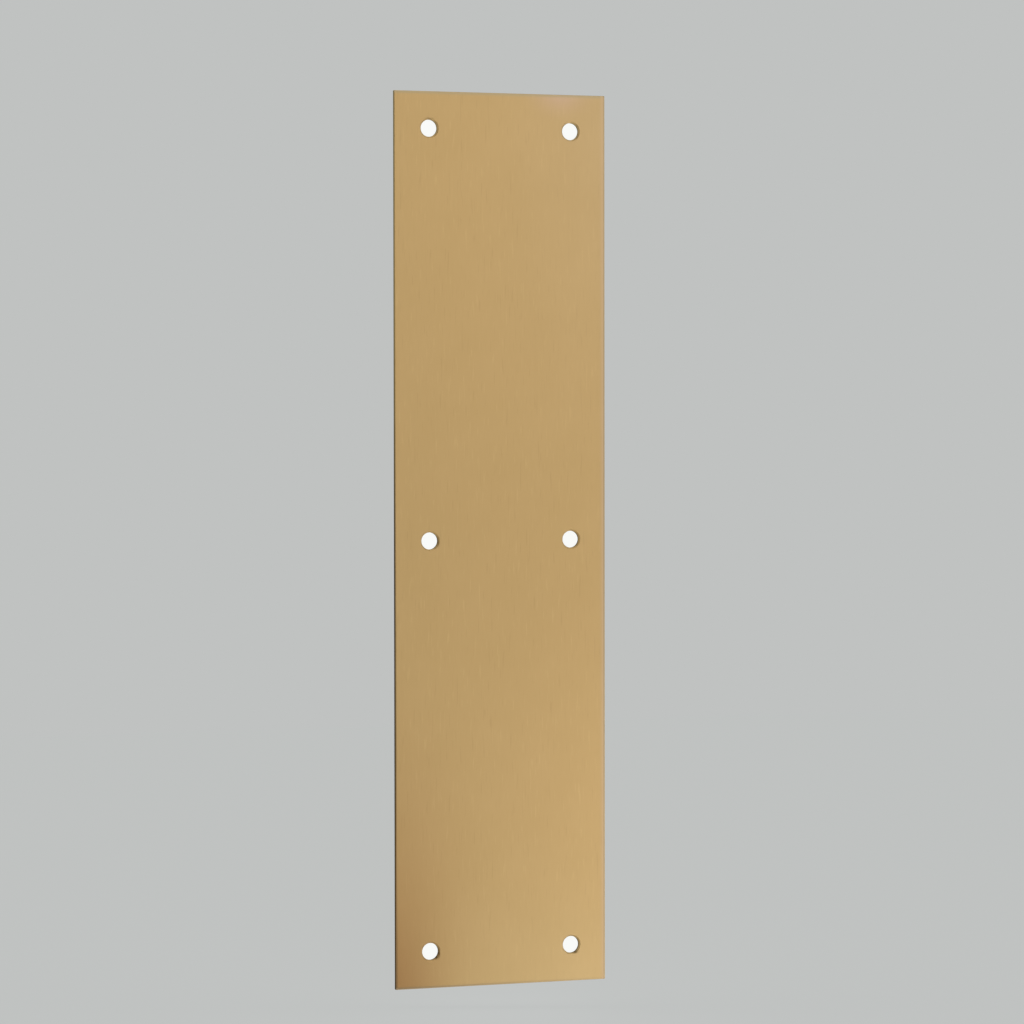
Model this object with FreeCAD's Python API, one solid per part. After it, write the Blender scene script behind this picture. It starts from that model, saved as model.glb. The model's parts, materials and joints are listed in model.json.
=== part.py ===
"""Door finger plate: one flat brass sheet, screwed to a door where hands push it.

The sheet stands upright as it does on the door: width along X, height along Z,
its flat back on the plane Y = 0 and its brushed front facing -Y.
The origin is the middle of the back.
All sizes are in millimetres and degrees.
"""

import FreeCAD
import Part
import math
import os

# The sheet
PLATE_HEIGHT = 305.0
PLATE_WIDTH = 76.0
SHEET_THICKNESS = 1.2
# The front outline and the four corners are eased so that they don't catch a hand
EASED_EDGE_RADIUS = 0.25
# The back outline only has its burr taken off
BACK_BURR_CHAMFER = 0.1

# The screw holes: two columns and three rows, set in from the sheet's edges
SCREW_COLUMNS = 2
SCREW_ROWS = 3
SCREW_INSET_FROM_SIDE = 12.5
SCREW_INSET_FROM_END = 12.5
SCREW_HOLE_DIAMETER = 5.8
COUNTERSINK_DIAMETER = 6.8
COUNTERSINK_ANGLE = 90.0

# The hole cutters run past both faces by this much
CUTTER_OVERRUN = 1.0
# How near two coordinates must be to count as the same plane
PLANE_TOLERANCE = 1e-6

NODE_FOLDER = "parts"
NODE_NAME = "finger_plate"

FRONT_Y = -SHEET_THICKNESS
BACK_Y = 0.0
TOWARDS_BACK = FreeCAD.Vector(0, 1, 0)


def evenly_spaced(count, half_span):
    """Centre-to-centre places of count holes from -half_span to +half_span."""
    if count == 1:
        return [0.0]
    pitch = 2 * half_span / (count - 1)
    return [-half_span + index * pitch for index in range(count)]


def screw_centres():
    """The (x, z) of every screw hole."""
    columns = evenly_spaced(SCREW_COLUMNS, PLATE_WIDTH / 2 - SCREW_INSET_FROM_SIDE)
    rows = evenly_spaced(SCREW_ROWS, PLATE_HEIGHT / 2 - SCREW_INSET_FROM_END)
    return [(x, z) for x in columns for z in rows]


def lies_on_plane(edge, y):
    """Whether the whole edge lies at this depth."""
    box = edge.BoundBox
    return max(abs(box.YMin - y), abs(box.YMax - y)) < PLANE_TOLERANCE


def eased_sheet():
    """The cut sheet with its front outline and corners rounded and its back burr removed."""
    lowest_corner = FreeCAD.Vector(-PLATE_WIDTH / 2, FRONT_Y, -PLATE_HEIGHT / 2)
    sheet = Part.makeBox(PLATE_WIDTH, SHEET_THICKNESS, PLATE_HEIGHT, lowest_corner)
    eased_edges = [edge for edge in sheet.Edges if not lies_on_plane(edge, BACK_Y)]
    sheet = sheet.makeFillet(EASED_EDGE_RADIUS, eased_edges)
    back_outline = [edge for edge in sheet.Edges if lies_on_plane(edge, BACK_Y)]
    return sheet.makeChamfer(BACK_BURR_CHAMFER, back_outline)


def screw_hole_cutter():
    """A countersunk screw hole as a solid of revolution, its axis through the origin."""
    hole_radius = SCREW_HOLE_DIAMETER / 2
    sink_radius = COUNTERSINK_DIAMETER / 2
    sink_slope = math.tan(math.radians(COUNTERSINK_ANGLE / 2))
    sink_depth = (sink_radius - hole_radius) / sink_slope
    mouth_y = FRONT_Y - CUTTER_OVERRUN
    mouth_radius = sink_radius + CUTTER_OVERRUN * sink_slope
    throat_y = FRONT_Y + sink_depth
    far_y = max(BACK_Y, throat_y) + CUTTER_OVERRUN
    half_section = Part.makePolygon(
        [
            FreeCAD.Vector(0, mouth_y, 0),
            FreeCAD.Vector(mouth_radius, mouth_y, 0),
            FreeCAD.Vector(hole_radius, throat_y, 0),
            FreeCAD.Vector(hole_radius, far_y, 0),
            FreeCAD.Vector(0, far_y, 0),
            FreeCAD.Vector(0, mouth_y, 0),
        ]
    )
    return Part.Face(half_section).revolve(FreeCAD.Vector(), TOWARDS_BACK, 360)


def finger_plate():
    """The whole plate, drilled and countersunk."""
    cutter = screw_hole_cutter()
    cutters = [cutter.translated(FreeCAD.Vector(x, 0, z)) for x, z in screw_centres()]
    return eased_sheet().cut(cutters)


def main():
    os.makedirs(NODE_FOLDER, exist_ok=True)
    plate = finger_plate().Solids[0]
    plate.exportStep(os.path.join(NODE_FOLDER, NODE_NAME + ".step"))
    print(NODE_NAME, "valid", plate.isValid(), "volume", round(plate.Volume, 1), "mm3")


main()
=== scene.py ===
"""A brushed brass door finger plate, dressed and lit as in a plain product picture.

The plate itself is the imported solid, which already has its true outline, holes and eased edges.
This script gives it its finish, sets it in a pale studio and looks at it through a long lens.
Lengths are in metres unless a name ends in _mm, and angles are in degrees.
A place on the plate is given in shares of half its width and half its height, from its middle.
"""

from __future__ import annotations

import json
import logging
import math
from dataclasses import dataclass
from enum import Enum
from typing import Any

import bmesh
import bpy
from mathutils import Matrix, Vector

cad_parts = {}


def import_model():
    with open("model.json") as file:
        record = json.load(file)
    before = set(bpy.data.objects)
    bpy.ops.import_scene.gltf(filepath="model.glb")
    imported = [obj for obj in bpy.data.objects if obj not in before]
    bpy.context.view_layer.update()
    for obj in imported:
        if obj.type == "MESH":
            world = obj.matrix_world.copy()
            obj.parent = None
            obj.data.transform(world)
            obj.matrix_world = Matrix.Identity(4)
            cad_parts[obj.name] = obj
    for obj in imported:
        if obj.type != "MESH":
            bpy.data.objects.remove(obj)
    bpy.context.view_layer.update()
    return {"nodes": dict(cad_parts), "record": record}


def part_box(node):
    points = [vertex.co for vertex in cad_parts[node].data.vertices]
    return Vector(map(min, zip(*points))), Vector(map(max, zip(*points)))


LOG = logging.getLogger("finger_plate")
PLATE_NODE = "finger_plate"
MM = 0.001

# Sockets that share their name with others on the same node, so they are chosen by number
MIX_SHARE = 0
FIRST_VALUE = 0
SECOND_VALUE = 1
LOWER_SHADER = 1
UPPER_SHADER = 2

# Places on the plate that lamps are aimed at
PLATE_MIDDLE = (0.0, 0.0)
LOWER_RIGHT_CORNER = (1.0, -1.0)


class Side(Enum):
    """Which way a face of the plate looks, as a sign on its depth axis."""

    FRONT = -1.0
    BACK = 1.0


class Blend(Enum):
    """What a mix node blends: its data type, then the numbers of its two inputs and its output.

    A mix node has sockets of the same name for every type, so they are chosen by number.
    """

    NUMBERS = ("FLOAT", 2, 3, 0)
    COLOURS = ("RGBA", 6, 7, 2)


def linear_colour(hex_code: str) -> tuple[float, float, float, float]:
    """Turn an sRGB hex colour into the linear values that shaders take.

    Args:
        hex_code: A colour such as "#BFA06C".

    Returns:
        Linear red, green and blue, and an alpha of 1.
    """
    digits = hex_code.lstrip("#")
    channels = [int(digits[i:i + 2], 16) / 255 for i in (0, 2, 4)]
    # The curve of the sRGB standard: a short straight start, then a power
    red, green, blue = [
        c / 12.92 if c <= 0.04045 else ((c + 0.055) / 1.055) ** 2.4 for c in channels
    ]
    return red, green, blue, 1.0


def add_node(
    tree: bpy.types.NodeTree,
    kind: str,
    settings: dict[str, Any] | None = None,
    inputs: dict[str | int, Any] | None = None,
) -> bpy.types.Node:
    """Add one node with its settings, its fixed values and its links.

    Args:
        tree: The node tree that gets the node.
        kind: The node's type, such as "ShaderNodeMix".
        settings: Properties of the node by name.
        inputs: What goes into each input, by its name or number: a value, or a socket to link.

    Returns:
        The new node.
    """
    node = tree.nodes.new(kind)
    for name, setting in (settings or {}).items():
        setattr(node, name, setting)
    for socket, source in (inputs or {}).items():
        if isinstance(source, bpy.types.NodeSocket):
            tree.links.new(source, node.inputs[socket])
        else:
            node.inputs[socket].default_value = source
    return node


def new_material(name: str) -> tuple[bpy.types.Material, bpy.types.NodeTree]:
    """Make an empty node material.

    Args:
        name: The material's name.

    Returns:
        The material and its cleared node tree.
    """
    material = bpy.data.materials.new(name)
    material.use_nodes = True
    material.node_tree.nodes.clear()
    return material, material.node_tree


@dataclass(frozen=True)
class Surface:
    """What one kind of surface feeds to the shader, each as a socket or as a plain value."""

    colour: Any
    roughness: Any
    relief: Any
    bare_metal: Any = 1.0

    def under(self, tree: bpy.types.NodeTree, mask: bpy.types.NodeSocket, top: Surface) -> Surface:
        """Lay another surface over this one.

        Args:
            tree: The material's nodes.
            mask: How much of the top surface shows, from 0 to 1.
            top: The surface that goes on top.

        Returns:
            The blended surface.
        """
        blended = []
        for blend, low, high in (
            (Blend.COLOURS, self.colour, top.colour),
            (Blend.NUMBERS, self.roughness, top.roughness),
            (Blend.NUMBERS, self.relief, top.relief),
            (Blend.NUMBERS, self.bare_metal, top.bare_metal),
        ):
            data_type, first, second, result = blend.value
            inputs = {MIX_SHARE: mask, first: low, second: high}
            node = add_node(tree, "ShaderNodeMix", {"data_type": data_type}, inputs)
            blended.append(node.outputs[result])
        return Surface(*blended)


@dataclass(frozen=True)
class Grain:
    """A random pattern whose grains have a real size, in millimetres."""

    across_mm: float
    deep_mm: float
    along_mm: float
    finer_layers: float

    def draw(self, tree: bpy.types.NodeTree, places: bpy.types.NodeSocket) -> bpy.types.NodeSocket:
        """Draw the pattern.

        Args:
            tree: The material's nodes.
            places: Where each point of the plate is.

        Returns:
            The pattern's value, which is about 0.5 on average.
        """
        sizes = (self.across_mm, self.deep_mm, self.along_mm)
        scaled = add_node(
            tree,
            "ShaderNodeMapping",
            inputs={"Vector": places, "Scale": [1 / (size * MM) for size in sizes]},
        )
        noise = add_node(
            tree,
            "ShaderNodeTexNoise",
            inputs={"Vector": scaled.outputs["Vector"], "Scale": 1.0, "Detail": self.finer_layers},
        )
        return noise.outputs["Fac"]


@dataclass(frozen=True)
class PaintedPatch:
    """A patch of painted light and shade on the front, which fades out from its centre."""

    centre: tuple[float, float]
    reach_mm: tuple[float, float]
    groove_colour: str
    ridge_colour: str

    def mask(
        self, tree: bpy.types.NodeTree, places: bpy.types.NodeSocket, plate: FingerPlate
    ) -> bpy.types.NodeSocket:
        """Mark the patch.

        Args:
            tree: The material's nodes.
            places: Where each point of the plate is.
            plate: The plate that has the patch.

        Returns:
            How much of the patch shows, from 1 at its centre to 0 at its reach.
        """
        middle_across, middle_along = plate.spot(self.centre)
        reach_across, reach_along = [reach * MM for reach in self.reach_mm]
        centred = add_node(
            tree,
            "ShaderNodeMapping",
            inputs={
                "Vector": places,
                "Location": (-middle_across / reach_across, 0.0, -middle_along / reach_along),
                "Scale": (1 / reach_across, 0.0, 1 / reach_along),
            },
        )
        fade = add_node(
            tree,
            "ShaderNodeTexGradient",
            {"gradient_type": "QUADRATIC_SPHERE"},
            {"Vector": centred.outputs["Vector"]},
        )
        return fade.outputs["Fac"]


@dataclass(frozen=True)
class CountersinkShade:
    """Painted shade in a countersink, placed from the axis of its screw hole."""

    hole: str
    offset_mm: tuple[float, float]
    reach_mm: tuple[float, float]
    groove_colour: str
    ridge_colour: str

    def painted_patch(self, plate: FingerPlate) -> PaintedPatch:
        """Turn the painted shade into a patch at its place on the plate."""
        centre = plate.beside(self.hole, self.offset_mm)
        return PaintedPatch(centre, self.reach_mm, self.groove_colour, self.ridge_colour)


@dataclass(frozen=True)
class BrushedBrass:
    """Yellow brass sheet, cut to size and drilled, then brushed along its height on the front.

    Brushing leaves fine parallel scratches, so light spreads sideways and the face looks satin.
    The cut outline and the hole walls stay rough and matt, in a darker colour that is partly
    painted shade. Low down, where they look left, they have more painted shade, in brown. The back
    stays as rolled.
    The real scratches are far finer than a pixel, so the lines are drawn as coarse as they need
    to show.
    """

    name: str = "brushed_brass"
    spread_across_grain: float = 0.5
    relief_depth_mm: float = 0.004

    # The brushed front
    groove: Surface = Surface(linear_colour("#BC9D68"), 0.43, 0.0)
    ridge: Surface = Surface(linear_colour("#C4A470"), 0.41, 1.0)
    lines: Grain = Grain(1.2, 1.2, 5.5, 1.0)
    streaks: Grain = Grain(4.0, 4.0, 18.0, 2.0)
    streak_share: float = 0.4
    clouds: Grain = Grain(20.0, 20.0, 16.0, 2.0)
    cloud_share: float = 0.55
    dark_dash: Surface = Surface(linear_colour("#AC8E5E"), 0.46, 0.0)
    light_dash: Surface = Surface(linear_colour("#D0B17C"), 0.38, 1.0)
    dashes: Grain = Grain(0.5, 0.5, 6.0, 0.0)
    dark_dash_levels: tuple[float, float] = (0.3, 0.15)
    light_dash_levels: tuple[float, float] = (0.7, 0.85)
    dash_strength: float = 0.25
    # Patches of painted shade, painted highlight and painted reflection on the front
    painted_patches: tuple[PaintedPatch, ...] = (
        # Painted shade along the rounded left edge, darkest below the middle
        PaintedPatch((-1.0, -0.4), (0.5, 500.0), "#6C5A3B", "#766343"),
        PaintedPatch((-0.996, -0.6), (0.65, 230.0), "#6A583C", "#746245"),
        # Painted shade on the lower left corner, darkest at its tip and its rims
        PaintedPatch((-1.08, -1.08), (43.0, 134.0), "#A17949", "#AB8153"),
        PaintedPatch((-1.05, -1.04), (30.0, 40.0), "#9B7446", "#A57C50"),
        PaintedPatch((-0.99, -1.0), (0.6, 55.0), "#6A553A", "#745E42"),
        PaintedPatch((-0.95, -0.997), (24.0, 0.6), "#6E5A3C", "#786344"),
        # Painted highlight on the lower right corner
        PaintedPatch((0.71, -1.16), (98.0, 87.0), "#C5A975", "#CFB37F"),
        # Painted reflection on the upper right, and a spot of it near the top
        PaintedPatch((1.24, 1.15), (78.0, 200.0), "#B89D70", "#C2A77A"),
        PaintedPatch((0.57, 1.02), (16.0, 13.5), "#C4A590", "#CEAF9A"),
        # Painted shade along the other rounded edges, and a painted highlight line beside the right
        # one
        PaintedPatch((0.0, 0.9974), (900.0, 1.2), "#AD9A73", "#B4A17C"),
        PaintedPatch((-0.6, -0.998), (110.0, 0.8), "#9C8664", "#A48E6C"),
        PaintedPatch((0.979, 0.0), (1.4, 900.0), "#BEA27B", "#C6A984"),
        PaintedPatch((0.992, 0.0), (0.6, 900.0), "#A08C68", "#A89470"),
    )
    countersink_shades: tuple[CountersinkShade, ...] = (
        # Painted shade in the countersinks, darkest in the lower left one, down its right side and
        # at the lower right
        CountersinkShade("bottom_left_hole", (2.97, -0.76), (0.75, 2.8), "#3C2C16", "#46361E"),
        CountersinkShade("bottom_left_hole", (2.09, -2.05), (1.0, 1.15), "#3C2C16", "#46361E"),
        CountersinkShade("middle_left_hole", (3.04, -0.46), (0.75, 2.8), "#76603C", "#806A46"),
        CountersinkShade("bottom_right_hole", (1.44, -2.66), (2.0, 0.9), "#5E4A2C", "#685436"),
        CountersinkShade("top_left_hole", (0.0, 3.2), (2.6, 0.8), "#87714A", "#917B54"),
    )

    # The cut outline and the hole walls, where the slope away from a face goes past these levels
    edge_starts_at: float = 0.75
    edge_ends_at: float = 0.4
    # Their colours are darker than the face's, partly as a matt cut finish and partly as painted
    # shade
    burr: Surface = Surface(linear_colour("#887A55"), 0.6, 0.0, 0.2)
    cut: Surface = Surface(linear_colour("#9A8B63"), 0.5, 1.0, 0.2)
    cut_marks: Grain = Grain(0.3, 12.0, 0.3, 1.0)

    # Painted shade on them, between two heights from the plate's middle, and where they turn to the
    # left
    painted_edge_shade: Surface = Surface(linear_colour("#4A3A25"), 0.6, 0.5, 0.0)
    # No specular layer on what is not bare metal, so the painted shade on the edges stays matt
    non_metal_gloss: float = 0.0
    edge_shade_starts_mm: float = 90.0
    edge_shade_full_mm: float = -20.0
    edge_shade_fades_at: float = 0.5

    # The rolled back
    stained: Surface = Surface(linear_colour("#B09266"), 0.4, 0.3)
    rolled: Surface = Surface(linear_colour("#C0A172"), 0.3, 0.7)
    stains: Grain = Grain(14.0, 14.0, 40.0, 4.0)

    def material(self, plate: FingerPlate) -> bpy.types.Material:
        """Build the node material, which reads object coordinates.

        Args:
            plate: The plate that the material is for.

        Returns:
            The material.
        """
        # Brass sheet, brushed on the front: a warm satin sheen with fine upright lines and no clear
        # reflections. Painted light and shade lie on the face in soft patches. Its cut edges are
        # matt and darker, partly as painted shade, with more painted shade low down where they look
        # left. The smoother back shines a little more.
        material, tree = new_material(self.name)
        places = add_node(tree, "ShaderNodeTexCoord")
        skin = self._cut_edge(tree, places.outputs["Object"], places.outputs["Normal"])
        for side, surface in (
            (Side.FRONT, self._brushed_front(tree, places.outputs["Object"], plate)),
            (Side.BACK, self._rolled_back(tree, places.outputs["Object"])),
        ):
            skin = skin.under(tree, self._facing(tree, places.outputs["Normal"], side), surface)
        relief = add_node(
            tree,
            "ShaderNodeBump",
            inputs={"Distance": self.relief_depth_mm * MM, "Height": skin.relief},
        )
        shader = add_node(
            tree,
            "ShaderNodeBsdfPrincipled",
            inputs={
                "Specular IOR Level": self.non_metal_gloss,
                "Anisotropic": self.spread_across_grain,
                "Metallic": skin.bare_metal,
                "Base Color": skin.colour,
                "Roughness": skin.roughness,
                "Normal": relief.outputs["Normal"],
            },
        )
        add_node(tree, "ShaderNodeOutputMaterial", inputs={"Surface": shader.outputs["BSDF"]})
        return material

    def _facing(
        self, tree: bpy.types.NodeTree, normal: bpy.types.NodeSocket, side: Side
    ) -> bpy.types.NodeSocket:
        """Mark the surfaces that look to one side of the plate.

        Args:
            tree: The material's nodes.
            normal: Which way each point of the plate looks.
            side: The side to mark.

        Returns:
            A socket that is 1 on that side, and 0 on the cut outline and the hole walls.
        """
        parts = add_node(tree, "ShaderNodeSeparateXYZ", inputs={"Vector": normal})
        mask = add_node(
            tree,
            "ShaderNodeMapRange",
            {"interpolation_type": "SMOOTHSTEP"},
            {
                "Value": parts.outputs["Y"],
                "From Min": self.edge_ends_at * side.value,
                "From Max": self.edge_starts_at * side.value,
            },
        )
        return mask.outputs["Result"]

    def _brushed_front(
        self, tree: bpy.types.NodeTree, places: bpy.types.NodeSocket, plate: FingerPlate
    ) -> Surface:
        """Draw the brushed face: fine lines in broad streaks, stray dashes and soft patches of
        painted light and shade.

        Args:
            tree: The material's nodes.
            places: Where each point of the plate is.
            plate: The plate that has the blemishes.

        Returns:
            The face's surface.
        """
        data_type, first, second, result = Blend.NUMBERS.value
        brushing = self.lines.draw(tree, places)
        for coarser, share in ((self.streaks, self.streak_share), (self.clouds, self.cloud_share)):
            inputs = {MIX_SHARE: share, first: brushing, second: coarser.draw(tree, places)}
            mix = add_node(tree, "ShaderNodeMix", {"data_type": data_type}, inputs)
            brushing = mix.outputs[result]
        face = self.groove.under(tree, brushing, self.ridge)
        dashes = self.dashes.draw(tree, places)
        for dash, (starts_at, full_at) in (
            (self.dark_dash, self.dark_dash_levels),
            (self.light_dash, self.light_dash_levels),
        ):
            mask = add_node(
                tree,
                "ShaderNodeMapRange",
                inputs={
                    "Value": dashes,
                    "From Min": starts_at,
                    "From Max": full_at,
                    "To Max": self.dash_strength,
                },
            )
            face = face.under(tree, mask.outputs["Result"], dash)
        # Painted shade in the countersinks, as patches on the front
        shaded_countersinks = [sink_shade.painted_patch(plate) for sink_shade in self.countersink_shades]
        # Lay the patches of painted light and shade over the face
        for painted_patch in (*self.painted_patches, *shaded_countersinks):
            groove = Surface(
                linear_colour(painted_patch.groove_colour), self.groove.roughness, self.groove.relief
            )
            ridge = Surface(
                linear_colour(painted_patch.ridge_colour), self.ridge.roughness, self.ridge.relief
            )
            patch = groove.under(tree, brushing, ridge)
            face = face.under(tree, painted_patch.mask(tree, places, plate), patch)
        return face

    def _cut_edge(
        self, tree: bpy.types.NodeTree, places: bpy.types.NodeSocket, normal: bpy.types.NodeSocket
    ) -> Surface:
        """Draw the cut outline and the hole walls, with marks across the thickness.

        Where they look left, low down, they get painted shade.

        Args:
            tree: The material's nodes.
            places: Where each point of the plate is.
            normal: Which way each point of the plate looks.

        Returns:
            The cut edge's surface.
        """
        edge = self.burr.under(tree, self.cut_marks.draw(tree, places), self.cut)
        # Painted shade, low down and where the edges look left
        heights = add_node(tree, "ShaderNodeSeparateXYZ", inputs={"Vector": places})
        low_down = add_node(
            tree,
            "ShaderNodeMapRange",
            {"interpolation_type": "SMOOTHSTEP"},
            {
                "Value": heights.outputs["Z"],
                "From Min": self.edge_shade_starts_mm * MM,
                "From Max": self.edge_shade_full_mm * MM,
            },
        )
        turns = add_node(tree, "ShaderNodeSeparateXYZ", inputs={"Vector": normal})
        looks_left = add_node(
            tree,
            "ShaderNodeMapRange",
            {"interpolation_type": "SMOOTHSTEP"},
            {
                "Value": turns.outputs["X"],
                "From Min": self.edge_shade_fades_at,
                "From Max": -self.edge_shade_fades_at,
                "To Max": low_down.outputs["Result"],
            },
        )
        return edge.under(tree, looks_left.outputs["Result"], self.painted_edge_shade)

    def _rolled_back(self, tree: bpy.types.NodeTree, places: bpy.types.NodeSocket) -> Surface:
        """Draw the back as the rolling mill left it, with faint stains."""
        return self.stained.under(tree, self.stains.draw(tree, places), self.rolled)


@dataclass
class FingerPlate:
    """The plate itself, as packed: half its width and height, its holes' axes, and its finish."""

    half_width: float
    half_height: float
    holes: dict[str, tuple[float, float]]
    finish: BrushedBrass

    @classmethod
    def from_frame(cls, record: dict[str, Any]) -> FingerPlate:
        """Take the plate's sizes and the places of its holes from the frame.

        Args:
            record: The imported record, whose bores are the screw holes.

        Returns:
            The plate in brushed brass.
        """
        low, high = [Vector(corner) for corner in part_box(PLATE_NODE)]
        half = (high - low) / 2
        holes = {}
        for mount in record["mounts"]:
            if mount["kind"] == "bore":
                across, _, up = mount["pos_m"]
                holes[mount["name"]] = (across, up)
        return cls(half.x, half.z, holes, BrushedBrass())

    def spot(self, shares: tuple[float, float]) -> tuple[float, float]:
        """Turn a place in shares of the plate into metres across and up from its middle."""
        return shares[0] * self.half_width, shares[1] * self.half_height

    def beside(self, hole: str, offset_mm: tuple[float, float]) -> tuple[float, float]:
        """Turn an offset from a hole's axis into a place in shares of the plate."""
        across, up = [axis + offset * MM for axis, offset in zip(self.holes[hole], offset_mm)]
        return across / self.half_width, up / self.half_height

    def dress(self, node: bpy.types.Object) -> None:
        """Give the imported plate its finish.

        Args:
            node: The plate's object from the frame.
        """
        material = self.finish.material(self)
        node.data.materials.clear()
        node.data.materials.append(material)
        LOG.info("dressed %s in %s", node.name, material.name)


@dataclass(frozen=True)
class SoftLamp:
    """One rectangular studio lamp. Its brightness is its power for each square metre, over pi."""

    name: str
    place: tuple[float, float, float]
    aim: tuple[float, float]
    width: float
    height: float
    brightness: float
    colour: str = "#FFFFFF"

    def hang(self, plate: FingerPlate) -> None:
        """Put the lamp in the scene.

        Args:
            plate: The plate that the lamp is aimed at.
        """
        light = bpy.data.lights.new(self.name, "AREA")
        light.shape = "RECTANGLE"
        light.size = self.width
        light.size_y = self.height
        light.energy = self.brightness * math.pi * self.width * self.height
        light.color = linear_colour(self.colour)[:3]
        lamp = bpy.data.objects.new(self.name, light)
        bpy.context.scene.collection.objects.link(lamp)
        lamp.location = self.place
        across, up = plate.spot(self.aim)
        towards = Vector((across, 0.0, up)) - Vector(self.place)
        lamp.rotation_euler = towards.to_track_quat("-Z", "Y").to_euler()
        LOG.info("hung %s", self.name)


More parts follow.
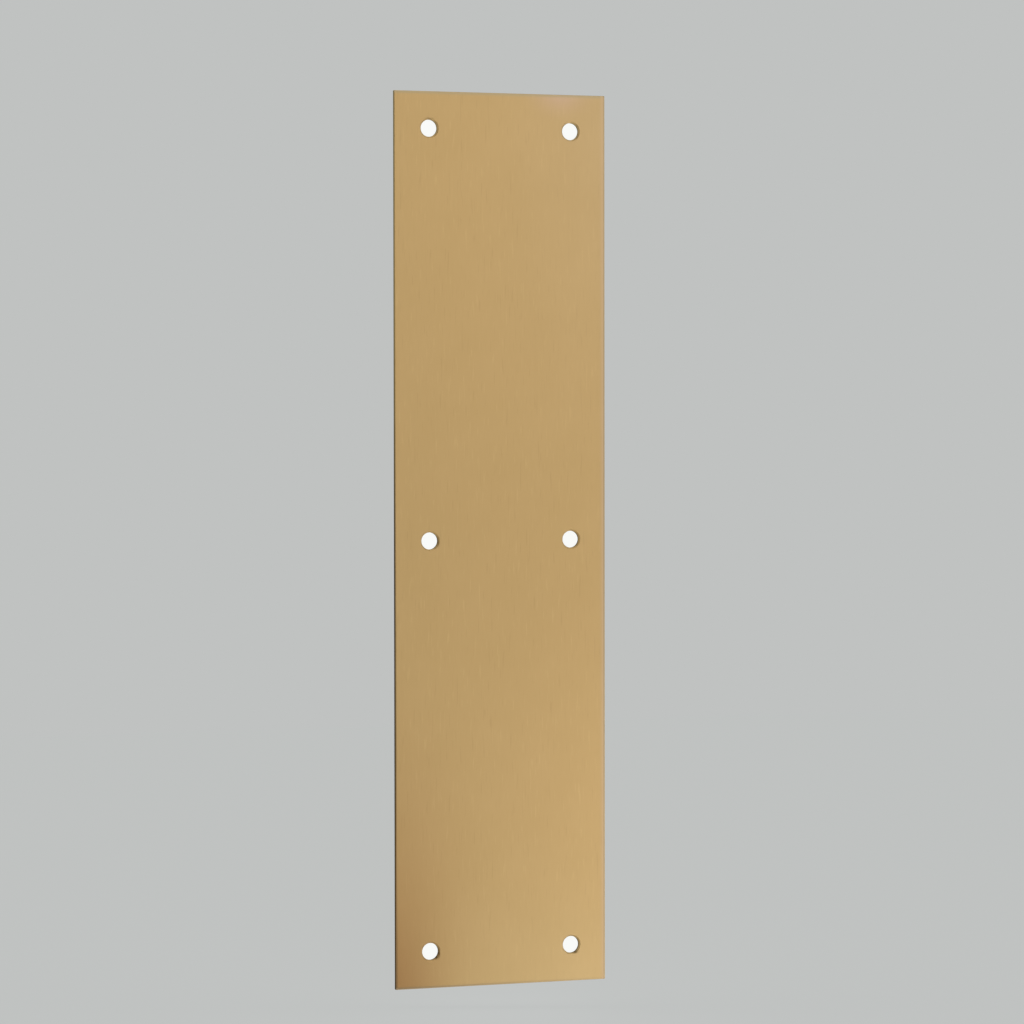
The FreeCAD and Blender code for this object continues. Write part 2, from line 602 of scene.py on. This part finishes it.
@dataclass
class Studio:
    """The pale surroundings: an even grey room, a floor, a white card and soft lamps."""

    grey: str = "#C0C2C1"
    floor_height: float = -1.1
    floor_reach: float = 12.0
    floor_paint_share: float = 0.3
    card_white: str = "#F9FAF8"
    card_distance: float = 6.0
    card_width: float = 0.35
    card_height: float = 1.67
    lamps: tuple[SoftLamp, ...] = (
        SoftLamp("key_panel", (1.094, -1.071, 0.429), PLATE_MIDDLE, 1.8, 1.24, 1.18, "#FAF7FF"),
        SoftLamp("low_card", (0.257, -0.173, -0.26), LOWER_RIGHT_CORNER, 0.37, 0.4, 1.22, "#F5F4FF"),
        SoftLamp("left_fill", (-1.2, -1.1, 0.1), PLATE_MIDDLE, 1.2, 1.2, 0.4),
        SoftLamp("overhead", (0.4, 0.0, 1.3), PLATE_MIDDLE, 1.8, 1.8, 0.7),
        SoftLamp("floor_bounce", (0.1, -0.05, -1.05), PLATE_MIDDLE, 2.2, 1.6, 0.45),
        SoftLamp("right_rear", (1.5, 0.6, 0.0), PLATE_MIDDLE, 1.2, 1.6, 0.5),
        SoftLamp("left_rear", (-1.5, 0.75, 0.3), PLATE_MIDDLE, 1.0, 1.6, 0.4),
        SoftLamp("back_panel", (0.5, 1.3, 0.4), PLATE_MIDDLE, 1.2, 1.2, 0.9),
    )

    def set_up(self, plate: FingerPlate, camera: bpy.types.Object) -> None:
        """Build everything around the plate.

        Args:
            plate: The plate that the lamps are aimed at.
            camera: The camera that looks at the plate.
        """
        self._paint_world()
        self._lay_floor()
        self._stand_card(camera)
        for lamp in self.lamps:
            lamp.hang(plate)

    def _paint_world(self) -> None:
        """Surround everything with an even pale grey."""
        world = bpy.data.worlds.new("pale_room")
        world.use_nodes = True
        world.node_tree.nodes["Background"].inputs["Color"].default_value = linear_colour(self.grey)
        bpy.context.scene.world = world

    def _square(self, name: str, placing: Matrix, material: bpy.types.Material) -> None:
        """Make a flat square of the stage.

        Args:
            name: The square's name.
            placing: What takes a square of side 2 to its size and place.
            material: What it is made of.
        """
        mesh = bpy.data.meshes.new(name)
        shape = bmesh.new()
        bmesh.ops.create_grid(shape, x_segments=1, y_segments=1, size=1)
        bmesh.ops.transform(shape, verts=shape.verts, matrix=placing)
        shape.to_mesh(mesh)
        shape.free()
        mesh.materials.append(material)
        square = bpy.data.objects.new(name, mesh)
        bpy.context.scene.collection.objects.link(square)
        LOG.info("set up %s", name)

    def _lay_floor(self) -> None:
        """Lay the floor, whose far end runs into the grey of the room."""
        # Matt paint that also glows as the room does where the camera or a reflection sees it.
        # The glow makes up for what the paint takes in, and the plate's shadow stays on the paint.
        # How much light the paint gives back is read from the green of its grey.
        material, tree = new_material("pale_floor")
        grey = linear_colour(self.grey)
        _, given_back, _, _ = grey
        glow_share = 1 - self.floor_paint_share
        glow_strength = (1 - self.floor_paint_share * given_back) / glow_share
        rays = add_node(tree, "ShaderNodeLightPath")
        seen = rays.outputs["Is Camera Ray"]
        for kind in ("Is Glossy Ray", "Is Transmission Ray"):
            inputs = {FIRST_VALUE: seen, SECOND_VALUE: rays.outputs[kind]}
            either = add_node(tree, "ShaderNodeMath", {"operation": "MAXIMUM"}, inputs)
            seen = either.outputs["Value"]
        inputs = {FIRST_VALUE: seen, SECOND_VALUE: glow_share}
        share = add_node(tree, "ShaderNodeMath", {"operation": "MULTIPLY"}, inputs)
        paint = add_node(tree, "ShaderNodeBsdfDiffuse", inputs={"Color": grey})
        glow = add_node(
            tree,
            "ShaderNodeEmission",
            inputs={"Color": grey, "Strength": glow_strength},
        )
        mix = add_node(
            tree,
            "ShaderNodeMixShader",
            inputs={
                "Fac": share.outputs["Value"],
                LOWER_SHADER: paint.outputs["BSDF"],
                UPPER_SHADER: glow.outputs["Emission"],
            },
        )
        add_node(tree, "ShaderNodeOutputMaterial", inputs={"Surface": mix.outputs["Shader"]})
        size = Matrix.Diagonal((self.floor_reach, self.floor_reach, 1, 1))
        self._square("floor", Matrix.Translation((0, 0, self.floor_height)) @ size, material)

    def _stand_card(self, camera: bpy.types.Object) -> None:
        """Stand a white card far behind the plate, so that the holes show white.

        Args:
            camera: The camera that looks at the plate.
        """
        # White card, lit evenly, so it is a plain white
        material, tree = new_material("white_card")
        glow = add_node(tree, "ShaderNodeEmission", inputs={"Color": linear_colour(self.card_white)})
        add_node(tree, "ShaderNodeOutputMaterial", inputs={"Surface": glow.outputs["Emission"]})
        sight = camera.matrix_world.translation.normalized()
        turn = sight.to_track_quat("Z", "Y").to_matrix().to_4x4()
        size = Matrix.Diagonal((self.card_width / 2, self.card_height / 2, 1, 1))
        behind = Matrix.Translation(-sight * self.card_distance)
        self._square("white_card", behind @ turn @ size, material)


@dataclass(frozen=True)
class ProductCamera:
    """A long lens on a stand to the left of the plate and a little above its middle."""

    place: tuple[float, float, float] = (-0.4236, -1.2222, 0.0432)
    turned_right: float = 19.302
    tilted_down: float = 1.489
    rolled: float = -0.074
    lens_mm: float = 132.91
    sensor_mm: float = 36.0

    def set_up(self) -> bpy.types.Object:
        """Create the camera and make it the scene's own.

        Returns:
            The camera's object.
        """
        lens = bpy.data.cameras.new("product_camera")
        lens.lens = self.lens_mm
        lens.sensor_width = self.sensor_mm
        camera = bpy.data.objects.new("product_camera", lens)
        bpy.context.scene.collection.objects.link(camera)
        # A new camera looks straight down, so a right angle brings it level
        turn = Matrix.Rotation(math.radians(-self.turned_right), 4, "Z")
        tilt = Matrix.Rotation(math.pi / 2 - math.radians(self.tilted_down), 4, "X")
        roll = Matrix.Rotation(math.radians(self.rolled), 4, "Z")
        camera.matrix_world = Matrix.Translation(self.place) @ turn @ tilt @ roll
        bpy.context.scene.camera = camera
        bpy.context.view_layer.update()
        LOG.info("set up %s", camera.name)
        return camera


def main() -> None:
    """Load the frame, dress the plate and set the studio around it."""
    logging.basicConfig(level=logging.INFO, format="%(name)s: %(message)s")
    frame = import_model()
    plate = FingerPlate.from_frame(frame["record"])
    plate.dress(frame["nodes"][PLATE_NODE])
    Studio().set_up(plate, ProductCamera().set_up())
    bpy.context.scene.view_settings.view_transform = "Standard"


if __name__ == "__main__":
    main()
